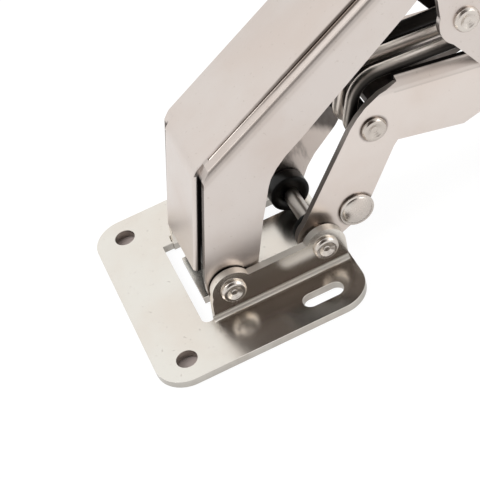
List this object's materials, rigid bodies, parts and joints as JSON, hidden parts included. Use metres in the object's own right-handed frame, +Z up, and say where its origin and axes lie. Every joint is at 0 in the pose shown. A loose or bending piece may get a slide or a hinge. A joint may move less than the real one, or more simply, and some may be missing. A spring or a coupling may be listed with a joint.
{
  "type": "concealed cabinet hinge",
  "caption": "Concealed surface-mounted cabinet hinge: slotted base plate and door plate joined by nested stamped channel arms on riveted pivots, with wire springs.",
  "frame": {"origin": "midpoint of the base plate's round screw holes, on the plate's underside", "axes": "+X along the base plate from the round holes towards the slots and the door plate, +Y across the hinge along the pivots, +Z up out of the base plate"},
  "size_m": [0.1223, 0.046, 0.0568],
  "materials": {
    "nickel": "satin nickel plate",
    "pin_steel": "bright nickel plate",
    "wire": "bright spring wire",
    "bush": "matt black"
  },
  "bodies": {
    "base": {"base_plate": "nickel", "pin_a1": "pin_steel", "pin_a2": "pin_steel", "sleeve_a1": "bush", "bush_a2_near": "bush", "bush_a2_far": "bush"},
    "outer": {"outer_arm": "nickel", "cross_pin": "pin_steel"},
    "inner": {"inner_arm": "nickel", "anchor_pin": "pin_steel", "stop_stud": "pin_steel", "spring_1": "wire", "spring_2": "wire", "spring_3": "wire"},
    "door": {"door_plate": "nickel", "pin_b1": "pin_steel", "pin_b2": "pin_steel", "sleeve_b1": "bush", "core_b2": "bush"}
  },
  "joints": [
    {"name": "outer_fold", "type": "hinge", "parent": "base", "child": "outer", "pos_m": [0.0128, 0, 0.0064], "axis": [0, -1, 0], "range_deg": [-6, 30]},
    {"name": "inner_fold", "type": "hinge", "parent": "base", "child": "inner", "pos_m": [0.0312, 0, 0.0064], "axis": [0, -1, 0], "range_deg": [-7.2, 36]},
    {"name": "door_fold", "type": "hinge", "parent": "outer", "child": "door", "pos_m": [0.0807, 0, 0.0147], "axis": [0, -1, 0], "range_deg": [-6, 30]}
  ],
  "couplings": [
    {"joint": "inner_fold", "follows": "outer_fold", "ratio": 1.2},
    {"joint": "door_fold", "follows": "outer_fold", "ratio": 1}
  ]
}
